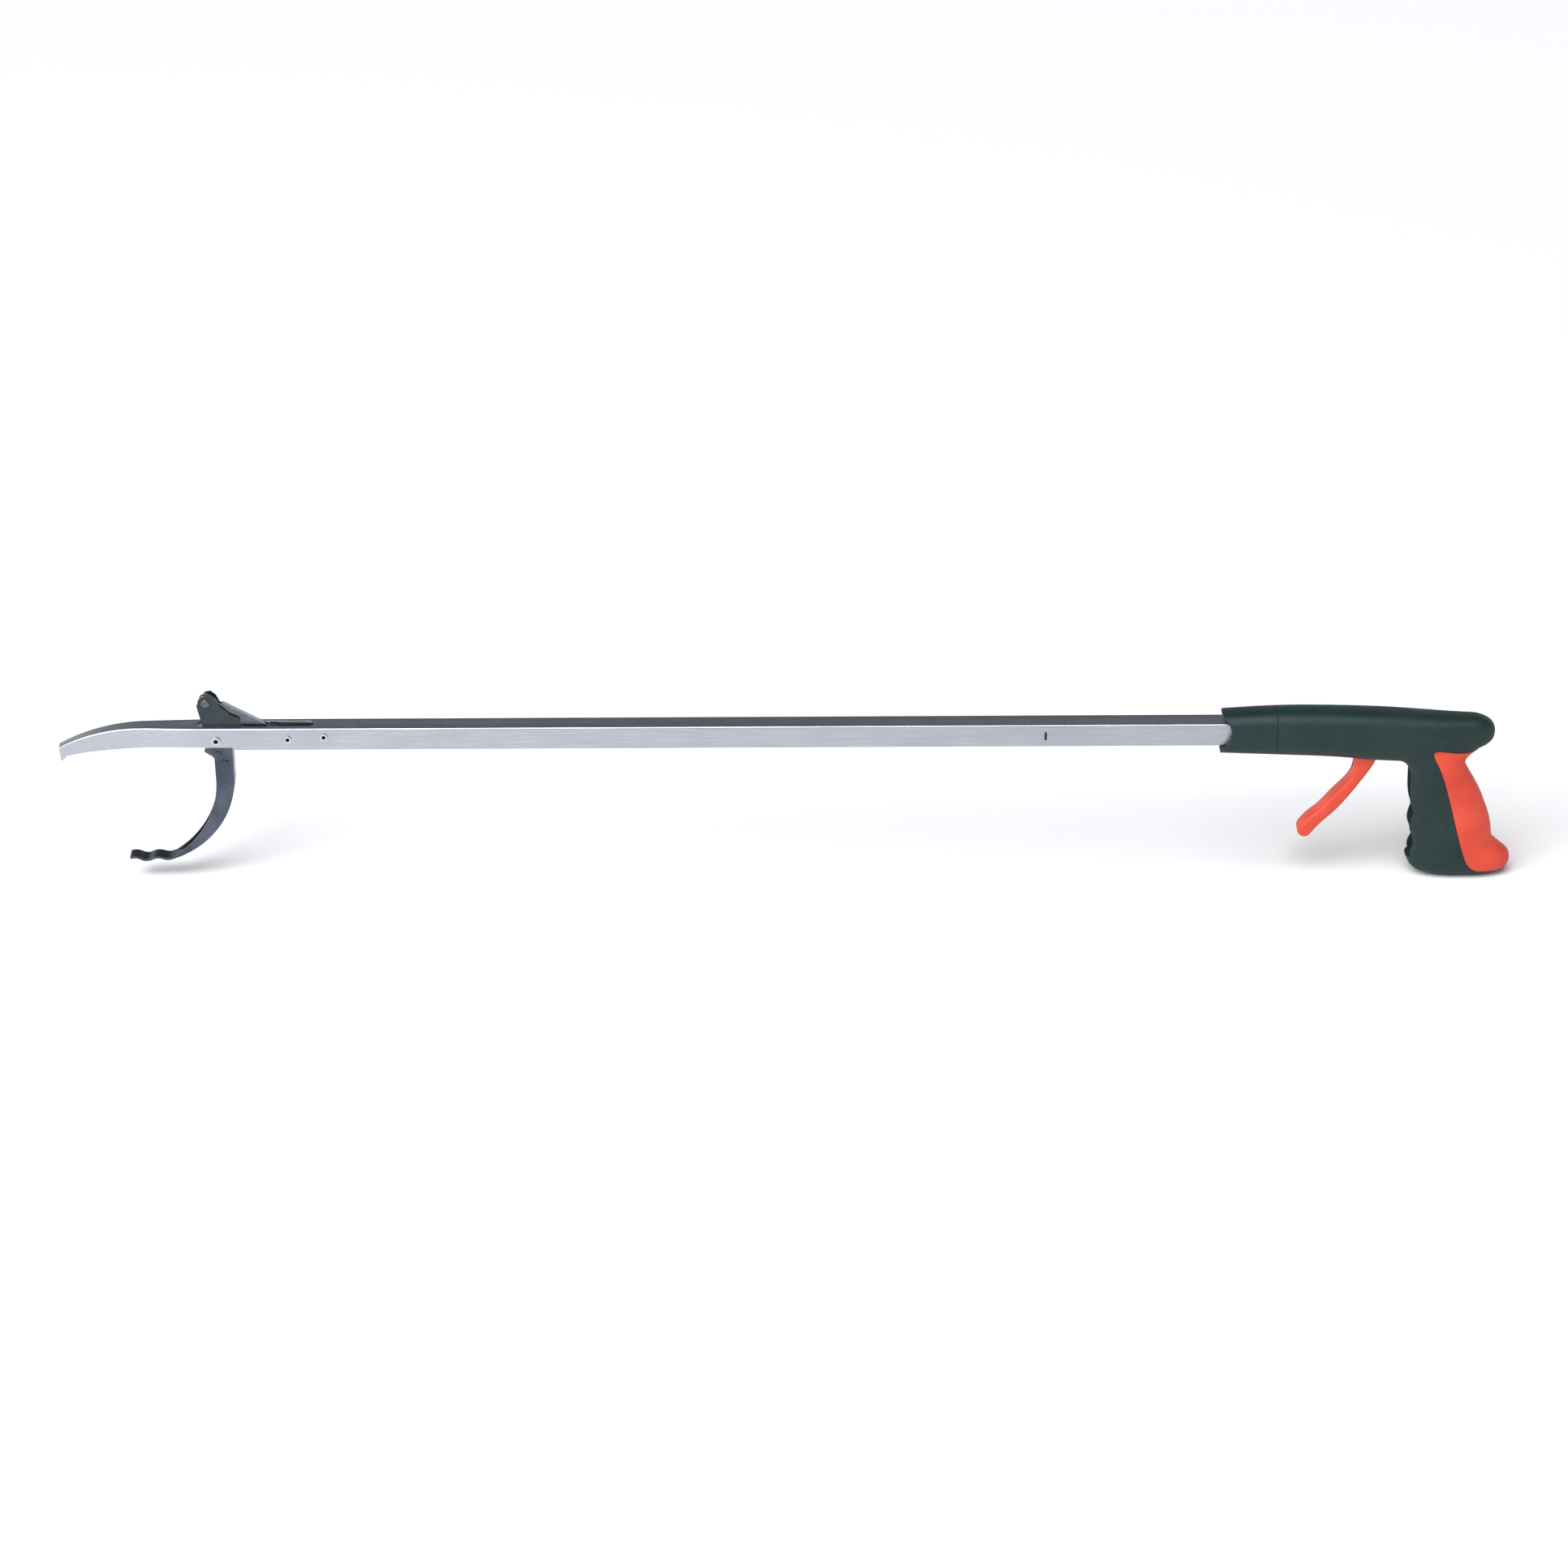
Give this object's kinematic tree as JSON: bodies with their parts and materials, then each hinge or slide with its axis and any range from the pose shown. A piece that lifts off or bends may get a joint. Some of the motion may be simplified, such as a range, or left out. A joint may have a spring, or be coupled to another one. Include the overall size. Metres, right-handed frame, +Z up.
{
  "type": "reacher grabber",
  "caption": "Long-reach grabber: square aluminium shaft, claw-ended fixed jaw, hooked pivoting jaw, linkage, and pistol grip with sprung trigger.",
  "frame": {"origin": "centre of the hand grip, on the object's mid-plane", "axes": "+X along the shaft from the jaws to the handle, +Y to the user's right, +Z up in the pose of use, away from the trigger"},
  "size_m": [0.9117, 0.0284, 0.1285],
  "materials": {
    "satin_aluminium": "drawn, satin anodised",
    "jaw_steel": "blue-grey coated sheet steel, semi-gloss",
    "black_lever": "black coated casting, semi-gloss",
    "link_steel": "dark zinc-plated strip",
    "rivet_steel": "plated, bright",
    "screw_steel": "black oxide",
    "nylon": "natural nylon",
    "dark_plastic": "fine moulded texture",
    "orange_plastic": "smooth moulded",
    "orange_rubber": "soft-touch, matt"
  },
  "bodies": {
    "frame": {"shaft_tube": "satin_aluminium", "jaw_pivot_pin": "rivet_steel", "jaw_pivot_washers": "nylon", "rod_guide_left": "nylon", "rod_guide_right": "nylon", "guide_rivets": "rivet_steel", "spring_seat": "nylon", "spring_seat_keys": "rivet_steel", "shaft_end_guide": "nylon", "nose_collar": "dark_plastic", "handle_shell_left": "dark_plastic", "handle_shell_right": "dark_plastic", "grip_pad": "orange_rubber", "handle_screws": "screw_steel", "shaft_dowels": "rivet_steel", "trigger_bushes": "nylon", "trigger_pivot_pin": "rivet_steel"},
    "trigger_lever": {"trigger": "orange_plastic", "trigger_rod_pin": "rivet_steel"},
    "rod": {"pull_rod": "link_steel", "spring_collar": "nylon", "collar_pin": "rivet_steel", "link_rear_pin": "rivet_steel", "return_spring": "rivet_steel"},
    "link": {"jaw_link": "link_steel"},
    "jaw": {"moving_jaw": "jaw_steel", "jaw_lever": "black_lever", "jaw_rivets": "jaw_steel", "link_front_pin": "rivet_steel"}
  },
  "joints": [
    {"name": "trigger_pivot", "type": "hinge", "parent": "frame", "child": "trigger_lever", "pos_m": [-0.045, 0, 0.0698], "axis": [0, -1, 0], "range_deg": [0, 41.4], "stiffness_Nm_per_rad": 0.9, "springref_deg": -28.65},
    {"name": "rod_slide", "type": "slide", "parent": "frame", "child": "rod", "axis": [1, 0, 0], "range_m": [0, 0.0213], "deforming": ["return_spring"]},
    {"name": "link_pivot", "type": "hinge", "parent": "rod", "child": "link", "pos_m": [-0.73708, 0, 0.0635], "axis": [0, -1, 0], "range_deg": [0, 3.4]},
    {"name": "jaw_pivot", "type": "hinge", "parent": "frame", "child": "jaw", "pos_m": [-0.774, 0, 0.061], "axis": [0, 1, 0], "range_deg": [0, 47.8]}
  ],
  "couplings": [
    {"joint": "rod_slide", "follows": "trigger_pivot", "m_per_rad": 0.029312},
    {"joint": "link_pivot", "follows": "trigger_pivot", "ratio": 0.08009},
    {"joint": "jaw_pivot", "follows": "trigger_pivot", "ratio": 1.1494}
  ]
}
